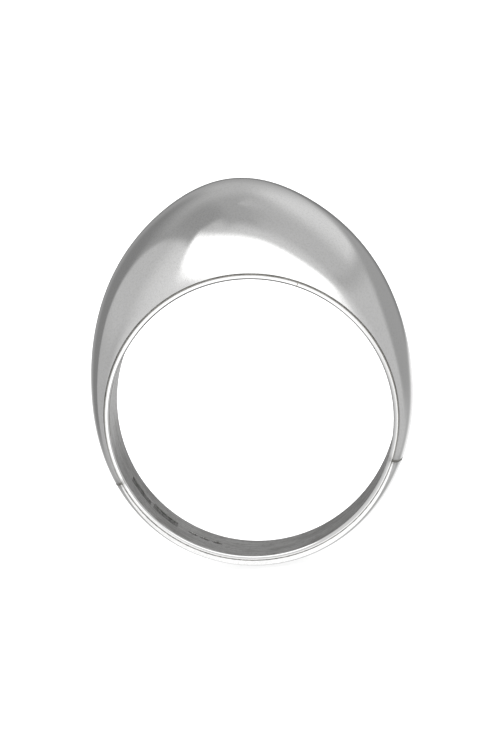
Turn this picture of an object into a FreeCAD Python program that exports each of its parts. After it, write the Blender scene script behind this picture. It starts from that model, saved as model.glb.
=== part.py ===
import FreeCAD, Part
import math
import os
import Sketcher

# A hollow-built dome ring in silver, in millimetres and degrees.
# The origin is the centre of the finger hole, +Y runs along the finger, +Z goes up through the crown.
# Angles round the ring are measured at the finger axis from the crown, positive towards +X.

DIMENSIONS = [
    # Finger liner: the inner band that touches the finger.
    ("finger_radius", 8.65),
    ("liner_thickness", 0.28),
    ("rim_half_width", 3.8),        # half the band's width at the height of the finger axis
    ("rim_lean", 6.7),              # each rim leans outwards towards the crown
    ("rim_bevel", 0.13),
    ("vent_radius", 0.4),
    # Outline seen along the finger: a round shank that swells into a tall dome.
    ("shank_outer_radius", 9.57),
    ("crown_rise", 4.70),
    ("swell_share", 0.889),         # the share of the rise that spreads down to the shoulders
    ("swell_power", 4.24),
    ("peak_power", 43),
    # Formed sheet of the dome.
    ("shell_wall", 0.65),
    ("hollow_end", 80),             # how far down each side the hollow reaches
    ("foot_bevel", 0.11),
    # Shank wire, wider than the band until its sides are filed flush with the rims.
    ("shank_half_width", 3.14),
    ("shank_widening", 0.52),
    # Solder joints.
    ("shoulder_joint", 112.3),
    ("joint_angle", 0.9),
    ("solder_film", 0.04),
    ("solder_recess", 0.05),
    ("seam_width", 0.52),
    ("liner_joint", 24),
    ("liner_joint_angle", 0.4),
    # Plain punch marks inside the band.
    ("punch_depth", 0.07),
    ("dot_radius", 0.32),
    ("plate_length", 1.9),
    ("plate_width", 1.5),
]

SHEET = "Dimensions"
GUESS_SHEET = "Guesses"
REACH = 20.0                # cutting shapes reach past the whole ring
FAR = 3 * REACH             # the tips of the rim cutters lie out here
ON_CIRCLE = 0.01            # how close an edge must lie to a circle to count as following it
DOME_SECTIONS = 21
HOLLOW_SECTIONS = 13
SHANK_SECTIONS = 9
DOT_ANGLES = (200.5, 206, 211)
PLATE_ANGLES = (224.5, 238.5)
FRONT = -1
BACK = 1


# Expressions that read the sheet

def size(name):
    return f"{SHEET}.{name}"


def outline_radius(angle):
    """Radius of the outline at an angle from the crown."""
    fall = f"((1 + cos(({angle}) * 1 deg)) / 2)"
    swell = f"{size('swell_share')} * {fall} ^ {size('swell_power')}"
    peak = f"(1 - {size('swell_share')}) * {fall} ^ {size('peak_power')}"
    return f"({size('shank_outer_radius')} + {size('crown_rise')} * ({swell} + {peak}))"


def band_half_width(angle):
    """Distance from the middle of the band to its rim, on the liner's outer face."""
    height = f"({liner_outer()} * cos(({angle}) * 1 deg))"
    return f"({size('rim_half_width')} + {height} * tan({size('rim_lean')} * 1 deg))"


def shank_half_width(angle):
    return f"({size('shank_half_width')} + {size('shank_widening')} * (1 + cos(({angle}) * 1 deg)))"


def liner_outer():
    return f"({size('finger_radius')} + {size('liner_thickness')})"


def solder_outer():
    return f"({liner_outer()} + {size('solder_film')})"


def between(start, end, share):
    return f"({start}) + ({share}) * (({end}) - ({start}))"


# Sketch tools

def value_of(doc, expression):
    """Work an expression out in a spare cell, so that a sketch starts close to its final shape."""
    guesses = doc.getObject(GUESS_SHEET)
    guesses.set("A1", f"={expression}")
    guesses.recompute()
    return guesses.get("A1")


def new_body(doc, name):
    body = doc.addObject("PartDesign::Body", name)
    body.Label = name
    return body


def new_sketch(body, name, role):
    """An empty sketch on one of the body's own origin planes."""
    sketch = body.newObject("Sketcher::SketchObject", f"{body.Label}_{name}")
    plane = next(item for item in body.Origin.OriginFeatures if item.Role == role)
    sketch.AttachmentSupport = [(plane, "")]
    sketch.MapMode = "FlatFace"
    return sketch


def turn_sketch(sketch, angle):
    """Swing a side-view sketch round the finger axis, from the crown to the given angle."""
    sketch.AttachmentOffset = FreeCAD.Placement(
        FreeCAD.Vector(), FreeCAD.Rotation(FreeCAD.Vector(1, 0, 0), 1))
    sketch.setExpression(".AttachmentOffset.Rotation.Angle", f"{angle} + 0")


def drive(sketch, expression, *constraint):
    """Add one dimension and bind it to the sheet."""
    index = sketch.addConstraint(Sketcher.Constraint(*constraint))
    sketch.setExpression(f"Constraints[{index}]", expression)


def polygon(sketch, corners):
    """Closed outline through the corners; returns its lines."""
    points = [FreeCAD.Vector(x, y, 0) for x, y in corners]
    lines = [sketch.addGeometry(Part.LineSegment(start, end))
             for start, end in zip(points, points[1:] + points[:1])]
    for first, second in zip(lines, lines[1:] + lines[:1]):
        sketch.addConstraint(Sketcher.Constraint("Coincident", first, 2, second, 1))
    return lines


def place_point(sketch, shape, point, x, y, guess):
    """Fix a corner at two expressions."""
    drive(sketch, x, "DistanceX", shape, point, guess[0])
    drive(sketch, y, "DistanceY", shape, point, guess[1])


# Features

def arc_band(body, start, end, inner, outer):
    """A band round the finger between two angles and two radii, wider than the ring."""
    sketch = new_sketch(body, "band", "XZ_Plane")
    angles = [f"90 - ({end})", f"90 - ({start})"]
    turns = [math.radians(value_of(body.Document, angle)) for angle in angles]
    radii = [value_of(body.Document, radius) for radius in (inner, outer)]
    arcs = []
    for expression, radius in zip((inner, outer), radii):
        circle = Part.Circle(FreeCAD.Vector(), FreeCAD.Vector(0, 0, 1), radius)
        arcs.append(sketch.addGeometry(Part.ArcOfCircle(circle, *turns)))
        sketch.addConstraint(Sketcher.Constraint("Coincident", arcs[-1], 3, -1, 1))
        drive(sketch, expression, "Radius", arcs[-1], radius)
    for end_point, angle, turn in zip((1, 2), angles, turns):
        ray = FreeCAD.Vector(math.cos(turn), math.sin(turn), 0)
        edge = sketch.addGeometry(Part.LineSegment(ray * radii[0], ray * radii[1]))
        sketch.addConstraint(Sketcher.Constraint("Coincident", edge, 1, arcs[0], end_point))
        sketch.addConstraint(Sketcher.Constraint("Coincident", edge, 2, arcs[1], end_point))
        sketch.addConstraint(Sketcher.Constraint("PointOnObject", -1, 1, edge))
        drive(sketch, f"({angle}) * 1 deg", "Angle", edge, turn)
    pad_both_ways(body, sketch)


def whole_band(body, inner, outer):
    """A full ring round the finger between two radii."""
    sketch = new_sketch(body, "band", "XZ_Plane")
    for radius in (inner, outer):
        driven_circle(sketch, radius)
    pad_both_ways(body, sketch)


def driven_circle(sketch, radius):
    """A circle about the sketch's origin."""
    guess = value_of(sketch.Document, radius)
    circle = sketch.addGeometry(Part.Circle(FreeCAD.Vector(), FreeCAD.Vector(0, 0, 1), guess))
    sketch.addConstraint(Sketcher.Constraint("Coincident", circle, 3, -1, 1))
    drive(sketch, radius, "Radius", circle, guess)


def pad_both_ways(body, sketch):
    """Raise a front-view sketch along the finger, past both rims."""
    band = body.newObject("PartDesign::Pad", f"{body.Label}_pad")
    band.Profile = sketch
    band.Midplane = True
    band.Length = REACH


def cut_gap(body, start, end):
    """Open a narrow gap across the band between two angles."""
    sketch = new_sketch(body, "gap", "XZ_Plane")
    turns = [math.radians(value_of(body.Document, angle)) for angle in (start, end)]
    guesses = [(REACH * math.sin(turn), REACH * math.cos(turn)) for turn in turns]
    lines = polygon(sketch, [(0, 0)] + guesses)
    sketch.addConstraint(Sketcher.Constraint("Coincident", lines[0], 1, -1, 1))
    for edge, angle, guess in zip(lines[1:], (start, end), guesses):
        across = f"{REACH} * sin(({angle}) * 1 deg)"
        upward = f"{REACH} * cos(({angle}) * 1 deg)"
        place_point(sketch, edge, 1, across, upward, guess)
    cut_through(body, sketch, "gap")


def cut_along_rim(body, side, inset, apex_side):
    """Cut away all that lies beyond a line along one rim, towards the apex side."""
    name = f"{'front' if side == FRONT else 'back'}_{'outside' if side == apex_side else 'inside'}"
    sketch = new_sketch(body, name, "YZ_Plane")
    heights = (-REACH, REACH)
    widths = [f"{side} * ({size('rim_half_width')} - ({inset}) + {height} * tan({size('rim_lean')} * 1 deg))"
              for height in heights]
    corners = [(value_of(body.Document, width), height) for width, height in zip(widths, heights)]
    apex = (apex_side * FAR, 0)
    lines = polygon(sketch, corners + [apex])
    for line, width, corner in zip(lines, widths, corners):
        place_point(sketch, line, 1, width, f"{corner[1]}", corner)
    place_point(sketch, lines[2], 1, f"{apex[0]}", f"{apex[1]}", apex)
    cut_through(body, sketch, name)


def cut_through(body, sketch, name):
    pocket = body.newObject("PartDesign::Pocket", f"{body.Label}_{name}_cut")
    pocket.Profile = sketch
    pocket.Midplane = True
    pocket.Type = "ThroughAll"


def trim_to_rims(body):
    for side in (FRONT, BACK):
        cut_along_rim(body, side, "0", side)


def bore_out(body, radius):
    """Clear the body out to a circle round the finger axis."""
    sketch = new_sketch(body, "bore", "XZ_Plane")
    driven_circle(sketch, radius)
    cut_through(body, sketch, "bore")


def d_section(body, name, angle, half_width, height, base):
    """A half-ellipse standing on a circle round the finger, in the plane at one angle."""
    sketch = new_sketch(body, name, "YZ_Plane")
    turn_sketch(sketch, angle)
    wide, tall, low = (value_of(body.Document, expression) for expression in (half_width, height, base))
    centre = FreeCAD.Vector(0, low, 0)
    right, top, left = (centre + FreeCAD.Vector(x, y, 0) for x, y in ((wide, 0), (0, tall), (-wide, 0)))
    # A sketch's ellipse is given by its long half-axis first, which is upright in the tallest sections.
    if wide >= tall:
        arc = sketch.addGeometry(Part.ArcOfEllipse(Part.Ellipse(right, top, centre), 0, math.pi))
        across, upright = 1, 2
    else:
        arc = sketch.addGeometry(Part.ArcOfEllipse(Part.Ellipse(top, left, centre), -math.pi / 2, math.pi / 2))
        across, upright = 2, 1
    sketch.exposeInternalGeometry(arc)
    flat = sketch.addGeometry(Part.LineSegment(left, right))
    sketch.addConstraint(Sketcher.Constraint("PointOnObject", arc, 3, -2))
    sketch.addConstraint(Sketcher.Constraint("Horizontal", across))
    drive(sketch, base, "DistanceY", arc, 3, low)
    drive(sketch, f"2 * {half_width}", "Distance", across, 2 * wide)
    drive(sketch, f"2 * {height}", "Distance", upright, 2 * tall)
    for arc_end, flat_end in ((1, 2), (2, 1)):
        sketch.addConstraint(Sketcher.Constraint("Coincident", arc, arc_end, flat, flat_end))
        sketch.addConstraint(Sketcher.Constraint("PointOnObject", arc, arc_end, across))
    return sketch


def loft(body, kind, sections):
    body.Document.recompute()
    feature = body.newObject(f"PartDesign::{kind}Loft", f"{body.Label}_{kind}")
    feature.Profile = sections[0]
    feature.Sections = sections[1:]
    body.Document.recompute()
    return feature


def swept_d(body, kind, count, start, end, width_at, thinner):
    """Loft D-sections standing on the liner from one angle to another."""
    sections = []
    for index in range(count):
        angle = between(start, end, f"{index} / {count - 1}")
        half_width = f"({width_at(angle)} - {thinner})"
        height = f"({outline_radius(angle)} - {liner_outer()} - {thinner})"
        sections.append(d_section(body, f"{kind}_{index}", angle, half_width, height, liner_outer()))
    return loft(body, kind, sections)


def long_edges_on_circle(shape, radius):
    """Names of the long edges that follow a circle of this radius round the finger axis."""
    names = []
    for index, edge in enumerate(shape.Edges, start=1):
        points = edge.discretize(5)
        follows = all(abs(math.hypot(point.x, point.z) - radius) < ON_CIRCLE for point in points)
        if follows and not isinstance(edge.Curve, Part.Line):
            names.append(f"Edge{index}")
    return names


def bevel_edges(body, radius, bevel):
    """Bevel the edges of the band that lie on one circle."""
    body.Document.recompute()
    before = body.Tip
    edges = long_edges_on_circle(before.Shape, value_of(body.Document, radius))
    feature = body.newObject("PartDesign::Chamfer", f"{body.Label}_bevel")
    feature.Base = (before, edges)
    feature.setExpression("Size", bevel)


def punch(body, name, angle, draw):
    """Sink one flat-bottomed mark into the inside of the band."""
    sketch = new_sketch(body, name, "XY_Plane")
    depth = f"{size('finger_radius')} + {size('punch_depth')}"
    turn = FreeCAD.Rotation(FreeCAD.Vector(0, 1, 0), 1)
    sketch.AttachmentOffset = FreeCAD.Placement(FreeCAD.Vector(), turn)
    sketch.setExpression(".AttachmentOffset.Rotation.Angle", f"{angle} + 0")
    draw(sketch)
    pocket = body.newObject("PartDesign::Pocket", f"{body.Label}_{name}_cut")
    pocket.Profile = sketch
    pocket.setExpression("Length", depth)
    pocket.Reversed = True


def dot_mark(sketch):
    driven_circle(sketch, size("dot_radius"))


def plate_mark(sketch):
    """A plain blank rectangle, long side round the band."""
    corners = [(-1, -1), (1, -1), (1, 1), (-1, 1)]
    lines = polygon(sketch, corners)
    for line, (x, y) in zip(lines, corners):
        along = f"{x} * {size('plate_length')} / 2"
        across = f"{y} * {size('plate_width')} / 2"
        place_point(sketch, line, 1, along, across, (x, y))


# The pieces of the ring

def liner_edges():
    """The gap where the bent liner strip's two ends meet."""
    middle = size("liner_joint")
    half = f"{size('liner_joint_angle')} / 2"
    return f"({middle} - {half})", f"({middle} + {half})"


def shoulder(side):
    """Where the dome ends and where the shank starts, on the right (1) or the left (-1)."""
    joint = size("shoulder_joint")
    half = f"{size('joint_angle')} / 2"
    return f"({side} * ({joint} - {half}))", f"({side} * ({joint} + {half}))"


def ease_for_finger(body):
    """Trim the liner to the rims and bevel its inner edges."""
    trim_to_rims(body)
    bevel_edges(body, size("finger_radius"), size("rim_bevel"))


def build_finger_liner(doc):
    body = new_body(doc, "finger_liner")
    whole_band(body, size("finger_radius"), liner_outer())
    ease_for_finger(body)
    cut_gap(body, *liner_edges())
    for index, angle in enumerate(DOT_ANGLES, start=1):
        punch(body, f"dot_{index}", angle, dot_mark)
    for index, angle in enumerate(PLATE_ANGLES, start=1):
        punch(body, f"plate_{index}", angle, plate_mark)
    vent_hole(body)


def vent_hole(body):
    """Lets hot air out of the hollow dome while it is soldered shut."""
    sketch = new_sketch(body, "vent", "XY_Plane")
    driven_circle(sketch, size("vent_radius"))
    pocket = body.newObject("PartDesign::Pocket", f"{body.Label}_vent_cut")
    pocket.Profile = sketch
    pocket.Length = REACH
    pocket.Reversed = True


def build_liner_joint(doc):
    body = new_body(doc, "liner_joint_solder")
    arc_band(body, *liner_edges(), size("finger_radius"), liner_outer())
    ease_for_finger(body)


def build_dome_shell(doc):
    body = new_body(doc, "dome_shell")
    start, end = shoulder(-1)[0], shoulder(1)[0]
    swept_d(body, "Additive", DOME_SECTIONS, start, end, band_half_width, "0")
    bore_out(body, solder_outer())
    bevel_edges(body, solder_outer(), size("foot_bevel"))
    hollow = size("hollow_end")
    swept_d(body, "Subtractive", HOLLOW_SECTIONS, f"-{hollow}", hollow, band_half_width, size("shell_wall"))


def build_shank(doc):
    body = new_body(doc, "shank")
    start, end = shoulder(1)[1], f"({shoulder(-1)[1]} + 360)"
    swept_d(body, "Additive", SHANK_SECTIONS, start, end, shank_half_width, "0")
    bore_out(body, solder_outer())
    trim_to_rims(body)


def build_shank_solder(doc):
    body = new_body(doc, "shank_solder")
    arc_band(body, shoulder(1)[1], f"({shoulder(-1)[1]} + 360)", liner_outer(), solder_outer())
    trim_to_rims(body)


def build_seam_solder(doc, name, side):
    """The solder under one long foot of the dome."""
    body = new_body(doc, name)
    arc_band(body, shoulder(-1)[0], shoulder(1)[0], liner_outer(), solder_outer())
    outside = size("foot_bevel")
    cut_along_rim(body, side, outside, side)
    cut_along_rim(body, side, f"{outside} + {size('seam_width')}", -side)


def build_shoulder_solder(doc, name, side):
    """The joint between the dome's end and the shank's end, dressed a little below both."""
    body = new_body(doc, name)
    start, end = shoulder(side)
    recess = size("solder_recess")
    swept_d(body, "Additive", 2, start, end, band_half_width, recess)
    trim_to_rims(body)


def check_and_save(doc):
    doc.recompute()
    for item in doc.Objects:
        if {"Invalid", "Error"} & set(item.State):
            raise RuntimeError(f"{item.Name} did not build: {item.State}")
    os.makedirs("parts", exist_ok=True)
    for body in doc.findObjects("PartDesign::Body"):
        shape = body.Shape
        if shape.isNull() or not shape.isValid() or len(shape.Solids) != 1:
            raise RuntimeError(f"{body.Label} is not one sound solid")
        shape.exportStep(f"parts/{body.Label}.step")
        print(f"{body.Label}: {shape.Volume:.2f} mm3")


def build():
    doc = FreeCAD.newDocument("dome_ring")
    sheet = doc.addObject("Spreadsheet::Sheet", SHEET)
    for row, (name, value) in enumerate(DIMENSIONS, start=1):
        sheet.set(f"A{row}", name)
        sheet.set(f"B{row}", str(value))
        sheet.setAlias(f"B{row}", name)
    doc.addObject("Spreadsheet::Sheet", GUESS_SHEET)
    doc.recompute()
    build_finger_liner(doc)
    build_liner_joint(doc)
    build_dome_shell(doc)
    build_seam_solder(doc, "front_seam_solder", FRONT)
    build_seam_solder(doc, "back_seam_solder", BACK)
    build_shank(doc)
    build_shank_solder(doc)
    build_shoulder_solder(doc, "right_shoulder_solder", 1)
    build_shoulder_solder(doc, "left_shoulder_solder", -1)
    check_and_save(doc)


build()
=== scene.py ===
import math

import bmesh
import bpy
import numpy as np
from mathutils import Matrix, Vector


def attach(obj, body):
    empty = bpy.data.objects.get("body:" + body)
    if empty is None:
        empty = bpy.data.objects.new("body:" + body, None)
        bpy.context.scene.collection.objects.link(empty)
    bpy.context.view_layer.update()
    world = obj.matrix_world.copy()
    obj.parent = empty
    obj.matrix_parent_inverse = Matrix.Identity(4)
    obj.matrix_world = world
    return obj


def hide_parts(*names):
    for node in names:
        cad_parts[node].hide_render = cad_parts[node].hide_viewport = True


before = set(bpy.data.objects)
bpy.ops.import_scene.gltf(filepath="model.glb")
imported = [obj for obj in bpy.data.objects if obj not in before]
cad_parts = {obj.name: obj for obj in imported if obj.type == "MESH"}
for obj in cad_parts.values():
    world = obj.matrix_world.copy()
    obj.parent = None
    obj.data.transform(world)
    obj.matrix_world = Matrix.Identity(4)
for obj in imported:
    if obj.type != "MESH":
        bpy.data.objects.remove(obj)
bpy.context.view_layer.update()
MM = 0.001

# The ring, in millimetres. Angles are degrees round the finger from the crown, positive towards +X.
FINGER_RADIUS = 8.65
LINER_OUTER = 8.93
SOLDER_OUTER = 8.97
RIM_HALF_WIDTH = 3.8        # at the height of the finger's axis
RIM_LEAN = math.tan(math.radians(6.7))
RIM_ROUNDING = 0.13
SHANK_OUTER = 9.57
CROWN_RISE = 4.70
SWELL_SHARE = 0.889         # of the crown's rise; the rest of it is in the narrow peak
SWELL_POWER = 4.24
PEAK_POWER = 43
SHELL_WALL = 0.65
FOOT_BEVEL = 0.08
DOME_ENDS = (-111.85, 111.85)
SHANK_ENDS = (112.75, 247.25)
SHANK_HALF_WIDTH = 3.14     # at the bottom
SHANK_WIDENING = 0.52       # by the height of the finger's axis
HOLLOW_END = 80.0
HOLLOW_REST = 0.05          # the height left of the hollow past its end
SEAM_WIDTH = 0.52
SOLDER_RECESS = 0.05
LINER_JOINT = (23.8, 24.2)
VENT_RADIUS = 0.4

# Plain punch marks inside the band.
PUNCH_DEPTH = 0.07
PUNCH_SLOPE = 0.06          # width of the sloping side of a mark
DOT_RADIUS = 0.32
DOT_ANGLES = (200.5, 206, 211)
PLATE_LENGTH = 1.9
PLATE_WIDTH = 1.5
PLATE_ANGLES = (224.5, 238.5)
MARKED_STRETCH = (198, 247)     # the angles that hold all the marks

# Tarnish: its colour, how far it spreads, and its strength from 0 for none to 1
TARNISH = (0.12, 0.118, 0.112, 1)
TARNISH_WIDTH = 0.03        # how far it creeps out of a joint over the rims
DOME_SEAM_TARNISH = 0.45
SHOULDER_TARNISH = 0.5
SHOULDER_CREEP = 3.5        # degrees that it creeps from a shoulder joint round the ring
SAME_RADIUS = 0.001         # radii this close are the same face

# How finely the pieces are drawn
DOME_POINTS = 97
HOLLOW_POINTS = 33
SHANK_POINTS = 65
ROUNDING_POINTS = 7
BORE_POINTS = 91
DRILL_SIDES = 48
SECTION_STEP = 0.8          # degrees from one section to the next
MARKED_STEP = 0.25          # the same, across the punch marks
SHOULDER_STEP = 0.45
JOINT_STEP = 0.2
SHARP_EDGE = 25             # degrees

# The studio
SILVER_MIRROR = 0.93        # the share of light that polished silver gives back
SCREEN_GAMMA = 2.2          # from a grey level on screen to light
TABLE_WATTS = 3.2
TABLE_LIGHT_SIZE = 0.6      # metres
TABLE_LIGHT_HEIGHT = 0.5    # metres
FLOOR_HALF = 1.2            # metres

# The camera, in degrees and millimetres
CAMERA_BEARING = 3.5
CAMERA_HEIGHT = 8.2
CAMERA_ROLL = -5.35
CAMERA_DISTANCE = 530
CAMERA_TARGET = (-0.018, 0, 2.626)
CAMERA_LENS = 425
SENSOR_WIDTH = 36


# Shape of the ring as formulas

def outline_radius(angle):
    """Radius of the outline seen along the finger: a round shank that swells into the dome."""
    fall = (1 + np.cos(np.radians(angle))) / 2
    swell = SWELL_SHARE * fall ** SWELL_POWER
    peak = (1 - SWELL_SHARE) * fall ** PEAK_POWER
    return SHANK_OUTER + CROWN_RISE * (swell + peak)


def rim_distance(angle, radius):
    """How far the leaning rim is from the middle of the band."""
    return RIM_HALF_WIDTH + radius * math.cos(math.radians(angle)) * RIM_LEAN


def half_ellipse(half_width, height, start, end, count):
    """Points (y, radius) over a D-section standing on the liner, between two angles from its top."""
    turn = np.radians(np.linspace(start, end, count))
    return [(half_width * math.sin(a), LINER_OUTER + height * math.cos(a)) for a in turn]


def dome_section(angle):
    """Outer skin with bevelled feet, then the hollow inside."""
    half = rim_distance(angle, LINER_OUTER)
    height = outline_radius(angle) - LINER_OUTER
    foot_turn = math.degrees(math.acos((SOLDER_OUTER + FOOT_BEVEL - LINER_OUTER) / height))
    outer = half_ellipse(half, height, -foot_turn, foot_turn, DOME_POINTS)
    foot = (half - FOOT_BEVEL, SOLDER_OUTER)
    other_foot = (FOOT_BEVEL - half, SOLDER_OUTER)
    hollow_height = HOLLOW_REST
    if abs(angle) < HOLLOW_END:
        hollow_height = max(height - SHELL_WALL, HOLLOW_REST)
    hollow_turn = math.degrees(math.acos((SOLDER_OUTER - LINER_OUTER) / hollow_height))
    hollow = half_ellipse(half - SHELL_WALL, hollow_height, hollow_turn, -hollow_turn, HOLLOW_POINTS)
    return outer + [foot] + hollow + [other_foot]


def flush_section(angle, half_width, height):
    """A D-section filed flush with both leaning rims."""
    lean = math.cos(math.radians(angle)) * RIM_LEAN
    skew = math.atan2(height * lean, half_width)
    reach = math.hypot(half_width, height * lean)
    edge = math.degrees(skew + math.asin((RIM_HALF_WIDTH + LINER_OUTER * lean) / reach))
    rim_radii = (SOLDER_OUTER + TARNISH_WIDTH, SOLDER_OUTER)
    rim = [(rim_distance(angle, radius), radius) for radius in rim_radii]
    other_rim = [(-y, radius) for y, radius in reversed(rim)]
    return half_ellipse(half_width, height, -edge, edge, SHANK_POINTS) + rim + other_rim


def shank_section(angle):
    """The half-round wire of the shank, a little wider towards the shoulders."""
    wire_half = SHANK_HALF_WIDTH + SHANK_WIDENING * (1 + math.cos(math.radians(angle)))
    return flush_section(angle, wire_half, outline_radius(angle) - LINER_OUTER)


def shoulder_solder_section(angle):
    """A D-section a little smaller than the dome's."""
    half = rim_distance(angle, LINER_OUTER) - SOLDER_RECESS
    height = outline_radius(angle) - LINER_OUTER - SOLDER_RECESS
    return half_ellipse(half, height, -90, 90, SHANK_POINTS)


def shank_solder_section(angle):
    """The film of solder between the liner and the shank, flush with both rims."""
    corners = ((LINER_OUTER, -1), (SOLDER_OUTER, -1), (SOLDER_OUTER, 1), (LINER_OUTER, 1))
    return [(side * rim_distance(angle, radius), radius) for radius, side in corners]


def seam_section(side):
    """The solder track under one foot of the dome."""
    def section(angle):
        outside = rim_distance(angle, SOLDER_OUTER) - FOOT_BEVEL
        low, high = sorted((side * outside, side * (outside - SEAM_WIDTH)))
        return [(low, LINER_OUTER), (low, SOLDER_OUTER), (high, SOLDER_OUTER), (high, LINER_OUTER)]
    return section


def mark_share(angle, y):
    """How deep this spot lies in a punch mark, 0 to 1."""
    inside = -PUNCH_SLOPE
    for centre in DOT_ANGLES:
        around = math.radians(angle - centre) * FINGER_RADIUS
        inside = max(inside, DOT_RADIUS - math.hypot(around, y))
    for centre in PLATE_ANGLES:
        around = math.radians(angle - centre) * FINGER_RADIUS
        inside = max(inside, min(PLATE_LENGTH / 2 - abs(around), PLATE_WIDTH / 2 - abs(y)))
    share = min(1, max(0, inside / PUNCH_SLOPE + 0.5))
    return share * share * (3 - 2 * share)      # rounds both edges of the slope


def liner_section(angle):
    """The inner band: bore with its punch marks, rounded inner edges, flat rims."""
    edge = []
    for turn in np.radians(np.linspace(0, 90, ROUNDING_POINTS)):
        radius = FINGER_RADIUS + RIM_ROUNDING * (1 - math.cos(turn))
        edge.append((rim_distance(angle, radius) - RIM_ROUNDING * (1 - math.sin(turn)), radius))
    for radius in (LINER_OUTER - TARNISH_WIDTH, LINER_OUTER):
        edge.append((rim_distance(angle, radius), radius))
    low_edge = [(-y, radius) for y, radius in reversed(edge)]
    bore_half = edge[0][0]
    bore = []
    for y in np.linspace(-bore_half, bore_half, BORE_POINTS)[1:-1]:
        bore.append((y, FINGER_RADIUS + PUNCH_DEPTH * mark_share(angle, y)))
    return low_edge + bore + edge


def liner_tarnish(angle, y, radius):
    """Tarnish fills the punch marks; elsewhere the liner is like the other pieces."""
    in_bore = radius < FINGER_RADIUS + PUNCH_DEPTH + SAME_RADIUS
    return mark_share(angle, y) if in_bore else joint_tarnish(angle, y, radius)


def joint_tarnish(angle, y, radius):
    """Tarnish sits in the joints on the liner's outside, and spreads from the shoulder joints."""
    in_joint = LINER_OUTER - SAME_RADIUS < radius < SOLDER_OUTER + SAME_RADIUS
    if in_joint:
        under_dome = angle < DOME_ENDS[1] or angle > DOME_ENDS[0] + 360
        return DOME_SEAM_TARNISH if under_dome else 1.0
    from_crown = min(angle, 360 - angle) if angle > 0 else -angle
    from_shoulder = max(0, DOME_ENDS[1] - from_crown, from_crown - SHANK_ENDS[0])
    return SHOULDER_TARNISH * max(0, 1 - from_shoulder / SHOULDER_CREEP) ** 2


# Mesh tools

def point_at(angle, y, radius):
    """The point in metres."""
    turn = math.radians(angle)
    return (radius * math.sin(turn) * MM, y * MM, radius * math.cos(turn) * MM)


def facing_out(loop):
    """The loop in the direction that turns the swept faces outwards."""
    area = sum(y * after_radius - after_y * radius
               for (y, radius), (after_y, after_radius) in zip(loop, loop[1:] + loop[:1]))
    return loop if area > 0 else loop[::-1]


def sweep(name, section, angles, tarnish_at=joint_tarnish):
    """Join the sections at these angles into one closed piece with flat ends."""
    loops = [facing_out(section(angle)) for angle in angles]
    count = len(loops[0])
    points = [point_at(angle, y, radius) for angle, loop in zip(angles, loops) for y, radius in loop]
    faces = []
    for ring in range(len(angles) - 1):
        for index in range(count):
            after = (index + 1) % count
            faces.append((ring * count + index, ring * count + after,
                          (ring + 1) * count + after, (ring + 1) * count + index))
    last = (len(angles) - 1) * count
    faces.append(tuple(range(count))[::-1])
    faces.append(tuple(range(last, last + count)))
    mesh = bpy.data.meshes.new(name)
    mesh.from_pydata(points, [], faces)
    mesh.update()
    tarnish = mesh.attributes.new("tarnish", "FLOAT", "POINT")
    tarnish.data.foreach_set("value", [tarnish_at(angle, y, radius)
                                       for angle, loop in zip(angles, loops) for y, radius in loop])
    piece = bpy.data.objects.new(name, mesh)
    bpy.context.scene.collection.objects.link(piece)
    return piece


def steps(start, end, spacing):
    """Evenly spaced angles, about this far apart, with both ends."""
    return np.linspace(start, end, max(2, round((end - start) / spacing) + 1))


def drill_at_crown(piece, radius):
    """Drill a round hole straight up through the piece, above the finger's axis."""
    cutter_mesh = bpy.data.meshes.new("drill")
    drill = bmesh.new()
    bmesh.ops.create_cone(drill, cap_ends=True, segments=DRILL_SIDES, radius1=radius * MM,
                          radius2=radius * MM, depth=2 * FINGER_RADIUS * MM)
    bmesh.ops.translate(drill, verts=drill.verts, vec=(0, 0, 1.5 * FINGER_RADIUS * MM))
    drill.to_mesh(cutter_mesh)
    drill.free()
    cutter = bpy.data.objects.new("drill", cutter_mesh)
    bpy.context.scene.collection.objects.link(cutter)
    hole = piece.modifiers.new("vent", "BOOLEAN")
    hole.operation = "DIFFERENCE"
    hole.solver = "EXACT"
    hole.object = cutter
    drilled = piece.evaluated_get(bpy.context.evaluated_depsgraph_get())
    mesh = bpy.data.meshes.new_from_object(drilled)
    piece.modifiers.remove(hole)
    piece.data = mesh
    bpy.data.objects.remove(cutter)


def finish_piece(piece, node, material):
    """Smooth the piece, give it its material and tie it to its place in the frame."""
    piece.data.shade_smooth()
    piece.data.set_sharp_from_angle(angle=math.radians(SHARP_EDGE))
    piece.data.materials.append(material)
    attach(piece, "root")
    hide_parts(node)


# Node tools

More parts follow.
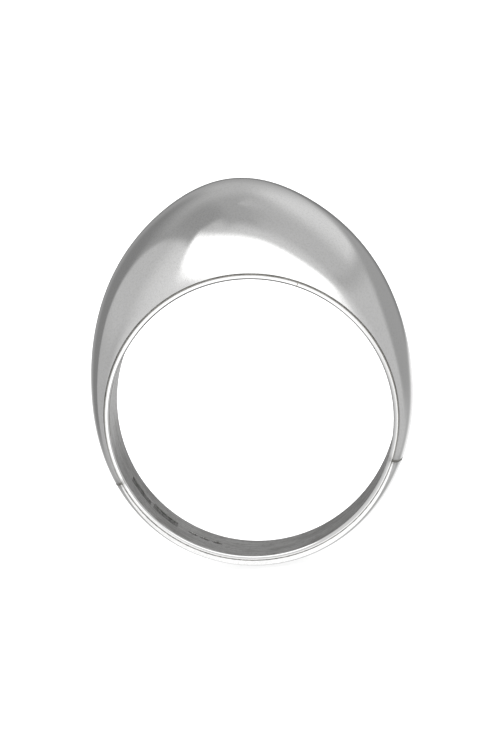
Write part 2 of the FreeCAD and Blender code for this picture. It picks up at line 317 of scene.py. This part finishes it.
class NodeTree:
    """Short names for the nodes that the materials and the studio are made of."""

    def __init__(self, tree):
        self.nodes = tree.nodes
        self.links = tree.links

    def connect(self, source, target):
        """Link a socket, or set a plain value."""
        if isinstance(source, bpy.types.NodeSocket):
            self.links.new(source, target)
        else:
            target.default_value = source

    def math(self, operation, first, second=0.0):
        node = self.nodes.new("ShaderNodeMath")
        node.operation = operation
        self.connect(first, node.inputs[0])
        self.connect(second, node.inputs[1])
        return node.outputs[0]

    def ramp(self, value, start, end, low=0.0, high=1.0):
        """A smooth step from low to high as the value goes from start to end."""
        node = self.nodes.new("ShaderNodeMapRange")
        node.interpolation_type = "SMOOTHSTEP"
        for socket, number in zip(node.inputs[:5], (value, start, end, low, high)):
            self.connect(number, socket)
        return node.outputs[0]

    def noise(self, place, scale, detail=2.0, roughness=0.5):
        """Cloudy noise from 0 to 1."""
        node = self.nodes.new("ShaderNodeTexNoise")
        self.connect(place, node.inputs["Vector"])
        node.inputs["Scale"].default_value = scale
        node.inputs["Detail"].default_value = detail
        node.inputs["Roughness"].default_value = roughness
        return node.outputs["Fac"]

    def stretch(self, place, scale, turn=(0, 0, 0)):
        """Turn the place by these degrees and scale it along each axis."""
        node = self.nodes.new("ShaderNodeMapping")
        self.connect(place, node.inputs["Vector"])
        node.inputs["Scale"].default_value = scale
        node.inputs["Rotation"].default_value = [math.radians(angle) for angle in turn]
        return node.outputs[0]

    def split(self, vector):
        node = self.nodes.new("ShaderNodeSeparateXYZ")
        self.connect(vector, node.inputs[0])
        return node.outputs

    def join(self, x, y, z):
        node = self.nodes.new("ShaderNodeCombineXYZ")
        for number, socket in zip((x, y, z), node.inputs):
            self.connect(number, socket)
        return node.outputs[0]

    def blend(self, share, first, second):
        """Mix two colours, which are the node's seventh and eighth sockets."""
        node = self.nodes.new("ShaderNodeMix")
        node.data_type = "RGBA"
        self.connect(share, node.inputs["Factor"])
        self.connect(first, node.inputs[6])
        self.connect(second, node.inputs[7])
        return node.outputs[2]

    def bump(self, height, strength, distance, under=None):
        """A normal for a bumpy surface, with the distance in millimetres."""
        node = self.nodes.new("ShaderNodeBump")
        self.connect(height, node.inputs["Height"])
        node.inputs["Strength"].default_value = strength
        node.inputs["Distance"].default_value = distance * MM
        if under is not None:
            self.connect(under, node.inputs["Normal"])
        return node.outputs[0]

    def place_in_mm(self):
        """Where the point is on the ring, in millimetres."""
        coordinates = self.nodes.new("ShaderNodeTexCoord")
        return self.stretch(coordinates.outputs["Object"], (1 / MM, 1 / MM, 1 / MM))


# Materials

def new_metal(name):
    material = bpy.data.materials.new(name)
    material.use_nodes = True
    shader = material.node_tree.nodes["Principled BSDF"]
    shader.inputs["Metallic"].default_value = 1.0
    return material, NodeTree(material.node_tree), shader


def tarnished(tree, tone, spots):
    """Darken a colour where the piece's tarnish sits, more in some spots than in others."""
    tarnish = tree.nodes.new("ShaderNodeAttribute")
    tarnish.attribute_name = "tarnish"
    uneven = tree.math("MULTIPLY", tarnish.outputs["Fac"], tree.ramp(spots, 0.4, 0.6, 1.0, 0.5))
    return tree.blend(uneven, tone, TARNISH)


def hairlines(tree, place, turn, spacing, rarity):
    """Thin straight scratches lying one way, few and far between."""
    along = tree.stretch(place, (1 / spacing, 0.25, 1 / spacing), turn)
    lines = tree.noise(along, 1.0, 1.0)
    return tree.ramp(lines, rarity, rarity + 0.06)


def polished_silver():
    """Hand-polished silver: a soft mirror with a faint haze, buffing hairlines and tiny pits."""
    material, tree, shader = new_metal("polished_silver")
    place = tree.place_in_mm()
    haze = tree.noise(place, 0.45, 3.0)
    grain = tree.noise(place, 8.0, 3.0, 0.7)
    scratches = hairlines(tree, place, (18, 0, 35), 0.045, 0.68)
    for turn in ((-40, 25, 0), (75, 0, -20)):
        scratches = tree.math("MAXIMUM", scratches, hairlines(tree, place, turn, 0.06, 0.7))
    pits = tree.ramp(tree.noise(place, 7.0, 1.0), 0.77, 0.8)
    tone = tree.blend(haze, (0.955, 0.953, 0.948, 1), (0.905, 0.904, 0.9, 1))
    tone = tree.blend(tree.ramp(grain, 0.4, 0.7), tone, (0.86, 0.858, 0.852, 1))
    tone = tree.blend(pits, tone, (0.78, 0.775, 0.76, 1))
    tree.connect(tarnished(tree, tone, tree.noise(place, 3.5, 2.0)), shader.inputs["Base Color"])
    dull = tree.ramp(haze, 0.3, 0.75, 0.05, 0.1)
    dull = tree.math("ADD", dull, tree.math("MULTIPLY", scratches, 0.12))
    tree.connect(tree.math("ADD", dull, tree.math("MULTIPLY", grain, 0.05)), shader.inputs["Roughness"])
    wave = tree.bump(haze, 0.5, 0.012)
    fine = tree.bump(grain, 0.12, 0.004, wave)
    marked = tree.bump(tree.math("ADD", scratches, pits), -0.25, 0.003, fine)
    tree.connect(marked, shader.inputs["Normal"])
    return material


def satin_silver():
    """Silver sanded round the inside of the band, darker where the punch marks hold tarnish."""
    material, tree, shader = new_metal("satin_silver")
    place = tree.place_in_mm()
    streaks = tree.noise(tree.stretch(place, (0.35, 16.0, 0.35)), 1.0, 4.0, 0.65)
    patches = tree.noise(place, 0.7, 3.0)
    grain = tree.noise(tree.stretch(place, (5.0, 1.6, 5.0)), 1.0, 3.0, 0.7)
    tone = tree.blend(tree.ramp(streaks, 0.35, 0.65), (0.88, 0.877, 0.87, 1), (0.4, 0.395, 0.385, 1))
    tone = tree.blend(tree.ramp(patches, 0.45, 0.7, 0, 0.6), tone, (0.4, 0.395, 0.38, 1))
    tone = tree.blend(tree.ramp(grain, 0.5, 0.7, 0, 0.5), tone, (0.3, 0.295, 0.285, 1))
    # The rims were polished with the outside; only the bore is sanded.
    across = tree.split(tree.nodes.new("ShaderNodeTexCoord").outputs["Normal"])[1]
    rim = tree.ramp(tree.math("ABSOLUTE", across), 0.4, 0.8)
    tone = tree.blend(rim, tone, (0.93, 0.928, 0.923, 1))
    tree.connect(tarnished(tree, tone, grain), shader.inputs["Base Color"])
    sanded = tree.ramp(streaks, 0.3, 0.7, 0.24, 0.36)
    bore = tree.math("SUBTRACT", 1.0, rim)
    tree.connect(tree.math("ADD", tree.math("MULTIPLY", sanded, bore), 0.06), shader.inputs["Roughness"])
    lines = tree.bump(tree.math("MULTIPLY", streaks, bore), 0.8, 0.012)
    tree.connect(tree.bump(grain, 0.2, 0.004, lines), shader.inputs["Normal"])
    return material


def silver_solder():
    """Solder: a shade yellower and darker than the silver, with a slightly pitted skin."""
    material, tree, shader = new_metal("silver_solder")
    place = tree.place_in_mm()
    patches = tree.noise(place, 3.0, 3.0)
    grain = tree.noise(place, 18.0, 2.0, 0.7)
    tone = tree.blend(patches, (0.72, 0.7, 0.65, 1), (0.45, 0.43, 0.39, 1))
    tree.connect(tarnished(tree, tone, patches), shader.inputs["Base Color"])
    tree.connect(tree.ramp(grain, 0.3, 0.7, 0.3, 0.5), shader.inputs["Roughness"])
    tree.connect(tree.bump(grain, 0.5, 0.012), shader.inputs["Normal"])
    return material


def white_floor():
    """Matt white paper with a faint tooth."""
    material = bpy.data.materials.new("white_floor")
    material.use_nodes = True
    tree = NodeTree(material.node_tree)
    shader = tree.nodes["Principled BSDF"]
    tooth = tree.noise(tree.place_in_mm(), 0.4, 4.0)
    tree.connect(tree.blend(tooth, (0.9, 0.9, 0.9, 1), (0.93, 0.93, 0.93, 1)), shader.inputs["Base Color"])
    tree.connect(tree.bump(tooth, 0.1, 0.05), shader.inputs["Normal"])
    shader.inputs["Roughness"].default_value = 0.9
    return material


# Pieces

def build_dome(polished):
    dome = sweep("polished_dome", dome_section, steps(*DOME_ENDS, SECTION_STEP))
    finish_piece(dome, "dome_shell", polished)


def build_shank(polished):
    shank = sweep("polished_shank", shank_section, steps(*SHANK_ENDS, SECTION_STEP))
    finish_piece(shank, "shank", polished)


def build_liner(satin):
    """The inner band, from one side of its joint round to the other."""
    before_marks = steps(LINER_JOINT[1], MARKED_STRETCH[0], SECTION_STEP)[:-1]
    across_marks = steps(*MARKED_STRETCH, MARKED_STEP)
    after_marks = steps(MARKED_STRETCH[1], LINER_JOINT[0] + 360, SECTION_STEP)[1:]
    angles = np.concatenate([before_marks, across_marks, after_marks])
    liner = sweep("inner_band", liner_section, angles, liner_tarnish)
    drill_at_crown(liner, VENT_RADIUS)
    finish_piece(liner, "finger_liner", satin)


def build_liner_joint(solder):
    joint = sweep("inner_band_joint", liner_section, steps(*LINER_JOINT, JOINT_STEP))
    finish_piece(joint, "liner_joint_solder", solder)


def build_dome_seams(solder):
    angles = steps(*DOME_ENDS, SECTION_STEP)
    front = sweep("front_seam", seam_section(-1), angles)
    finish_piece(front, "front_seam_solder", solder)
    back = sweep("back_seam", seam_section(1), angles)
    finish_piece(back, "back_seam_solder", solder)


def build_shank_seam(solder):
    film = sweep("shank_seam", shank_solder_section, steps(*SHANK_ENDS, SECTION_STEP))
    finish_piece(film, "shank_solder", solder)


def build_shoulder_joints(solder):
    right_angles = steps(DOME_ENDS[1], SHANK_ENDS[0], SHOULDER_STEP)
    right = sweep("right_shoulder", shoulder_solder_section, right_angles)
    finish_piece(right, "right_shoulder_solder", solder)
    left_angles = steps(SHANK_ENDS[1] - 360, DOME_ENDS[0], SHOULDER_STEP)
    left = sweep("left_shoulder", shoulder_solder_section, left_angles)
    finish_piece(left, "left_shoulder_solder", solder)


def build_ring():
    polished = polished_silver()
    satin = satin_silver()
    solder = silver_solder()
    build_dome(polished)
    build_shank(polished)
    build_liner(satin)
    build_liner_joint(solder)
    build_dome_seams(solder)
    build_shank_seam(solder)
    build_shoulder_joints(solder)


def build_floor():
    """A square table that the ring stands on."""
    low = -SHANK_OUTER * MM
    corners = [(x * FLOOR_HALF, y * FLOOR_HALF, low) for x, y in ((-1, -1), (1, -1), (1, 1), (-1, 1))]
    mesh = bpy.data.meshes.new("floor")
    mesh.from_pydata(corners, [], [(0, 1, 2, 3)])
    floor = bpy.data.objects.new("floor", mesh)
    bpy.context.scene.collection.objects.link(floor)
    mesh.materials.append(white_floor())
    floor.visible_glossy = False


def brightness(grey):
    """Light that polished silver shows as this grey level on screen."""
    return (grey / 255) ** SCREEN_GAMMA / SILVER_MIRROR


class Studio(NodeTree):
    """Soft panels of light and shade all round the ring.

    Directions are two angles in degrees: the bearing, from the front of the ring (0) to its right
    (90), back (180) and left (-90), and the height above the table. Greys go from 0 to 255, and
    brighter than white past that.
    """

    def __init__(self, tree, grey):
        super().__init__(tree)
        direction = self.nodes.new("ShaderNodeTexCoord").outputs["Generated"]
        x, y, z = self.split(direction)
        turn = self.math("ARCTAN2", x, self.math("MULTIPLY", y, -1.0))
        self.bearing = self.math("MULTIPLY", turn, math.degrees(1))
        self.away = self.math("ABSOLUTE", self.bearing)
        self.height = self.math("MULTIPLY", self.math("ARCSINE", z), math.degrees(1))
        self.light = brightness(grey)

    def below(self, across, upward, limit, softness):
        """1 where across * bearing + upward * height is below the limit, fading to 0 past it."""
        reach = self.math("ADD", self.math("MULTIPLY", self.bearing, across),
                          self.math("MULTIPLY", self.height, upward))
        return self.ramp(reach, limit + softness / 2, limit - softness / 2)

    def oval(self, bearing, height, half_width, half_height, softness, power=2.0):
        """1 inside an oval; a higher power squares it off, and the softness is a share of its size."""
        across = self.math("DIVIDE", self.math("SUBTRACT", self.bearing, bearing), half_width)
        upward = self.math("DIVIDE", self.math("SUBTRACT", self.height, height), half_height)
        reach = self.math("ADD", self.math("POWER", self.math("ABSOLUTE", across), power),
                          self.math("POWER", self.math("ABSOLUTE", upward), power))
        return self.ramp(self.math("POWER", reach, 1 / power), 1 + softness / 2, 1 - softness / 2)

    def lay(self, grey, *covers, strength=1.0):
        """Lay a panel of one grey over what is there already, where all the covers meet."""
        cover = strength
        for part in covers:
            cover = self.math("MULTIPLY", part, cover)
        kept = self.math("MULTIPLY", self.light, self.math("SUBTRACT", 1.0, cover))
        self.light = self.math("ADD", kept, self.math("MULTIPLY", cover, brightness(grey)))


def lay_table(studio):
    """The table: grey, white in front and dim right under the ring."""
    below = studio.below
    studio.lay(165, below(0, 1, -2, 10))
    studio.lay(285, below(1, 0, 75, 30), below(-1, 0, 75, 30), below(0, 1, -3, 6))
    studio.lay(115, below(0, 1, -46, 26))


def lay_sky_behind(studio):
    """A pale stretch high behind the ring, where the two sides meet."""
    studio.lay(176, studio.ramp(studio.away, 115, 176), studio.below(0, -1, -32, 24),
               studio.below(0, 1, 72, 26))


def lay_right_side(studio):
    """A pale wall with a low arch before it."""
    below, oval = studio.below, studio.oval
    # The ceiling over the wall, then the wall.
    studio.lay(174, below(-1, 0, -50, 80), below(1, 0, 150, 56), below(0, -1, -54, 12))
    studio.lay(178, below(-1, 0, -22, 16), below(1, 0, 150, 40), below(0, -1, 12, 8),
               below(0, 1, 62, 26))
    # A light streak high at the back.
    studio.lay(207, below(-1, 0, -105, 60), below(1, 0, 160, 38), below(-0.45, -1, -77, 14),
               below(0, 1, 62, 24))
    # The arch, paler inside its edge, and a dark corner behind it.
    studio.lay(166, oval(84, -10, 78, 43, 0.12))
    studio.lay(185, oval(84, -10, 70, 37, 0.2))
    studio.lay(152, oval(144, 4, 30, 17, 0.6))


def lay_left_side(studio):
    """An arched reflector that reaches to the window, with shade over and behind it."""
    below, oval = studio.below, studio.oval
    # Shade high over the arch, behind it and close round its top.
    studio.lay(143, oval(-72, 64, 50, 14, 1.0))
    studio.lay(126, below(1, 0, -100, 10), below(-1, 0, 157, 20), below(0, 1, 42, 34),
               below(0, -1, 14, 10))
    studio.lay(147, oval(-72, 0, 61, 56, 0.14, 2.2), below(0, -1, -30, 14))
    # The arch, dimmer low down and brighter towards the window.
    arch = studio.math("MAXIMUM", oval(-72, 0, 56, 51, 0.1, 2.2), oval(-18, 2, 24, 26, 0.4))
    studio.lay(182, arch)
    studio.lay(171, arch, below(0, 1, 13, 16))
    studio.lay(208, arch, below(-1, -0.49, 34, 44))


def lay_wall_behind(studio):
    """A grey wall straight behind the ring, over the far part of the table, which is nearly white."""
    below = studio.below
    behind = studio.ramp(studio.away, 158, 171)
    studio.lay(122, behind, below(0, 1, 14, 10), below(0, -1, 16, 10))
    studio.lay(240, behind, below(0, 1, -6.5, 3), below(0, -1, 24, 8))


def lay_window(studio):
    """The bright window in front, with a soft glow round it."""
    below, oval = studio.below, studio.oval
    left_edge = below(-1, -0.6, 10, 4)
    studio.lay(208, oval(-27, 54, 12, 10, 1.2), strength=0.5)
    studio.lay(206, oval(0, 22, 37, 33, 0.6), left_edge, strength=0.85)
    studio.lay(290, left_edge, below(1, -0.75, 17, 12), below(1, 0.6, 37, 14),
               below(0.283, 1, 40, 12), below(0, -1, 8, 4))


def build_world():
    """The studio for reflections, and plain white for the backdrop and the table."""
    world = bpy.data.worlds.new("studio")
    bpy.context.scene.world = world
    world.use_nodes = True
    studio = Studio(world.node_tree, 158)
    lay_table(studio)
    lay_sky_behind(studio)
    lay_right_side(studio)
    lay_left_side(studio)
    lay_wall_behind(studio)
    lay_window(studio)
    background = studio.nodes["Background"]
    paths = studio.nodes.new("ShaderNodeLightPath").outputs
    plain = studio.math("MAXIMUM", paths["Is Camera Ray"], paths["Is Diffuse Ray"])
    seen = studio.math("MAXIMUM", studio.light, plain)
    studio.connect(studio.join(seen, seen, seen), background.inputs["Color"])


def build_table_light():
    """A wide soft light that whitens the table and leaves the metal's reflections alone."""
    data = bpy.data.lights.new("table_light", "AREA")
    data.shape = "DISK"
    data.size = TABLE_LIGHT_SIZE
    data.energy = TABLE_WATTS
    data.use_shadow = False
    light = bpy.data.objects.new("table_light", data)
    light.location = (0, 0, TABLE_LIGHT_HEIGHT)
    light.visible_glossy = False
    bpy.context.scene.collection.objects.link(light)


def build_camera():
    """A long lens a little right of the front and above it, tilted to one side."""
    data = bpy.data.cameras.new("camera")
    data.lens = CAMERA_LENS
    data.sensor_width = SENSOR_WIDTH
    data.clip_start = 0.01
    data.clip_end = 10
    camera = bpy.data.objects.new("camera", data)
    bpy.context.scene.collection.objects.link(camera)
    bearing = math.radians(CAMERA_BEARING)
    height = math.radians(CAMERA_HEIGHT)
    towards = Vector((math.sin(bearing) * math.cos(height), -math.cos(bearing) * math.cos(height),
                      math.sin(height)))
    camera.location = (Vector(CAMERA_TARGET) + towards * CAMERA_DISTANCE) * MM
    aim = (-towards).to_track_quat("-Z", "Y").to_matrix().to_4x4()
    roll = Matrix.Rotation(math.radians(CAMERA_ROLL), 4, "Z")
    camera.matrix_world = Matrix.Translation(camera.location) @ aim @ roll
    bpy.context.scene.camera = camera


build_ring()
build_floor()
build_world()
build_table_light()
build_camera()
bpy.context.scene.view_settings.view_transform = "Standard"
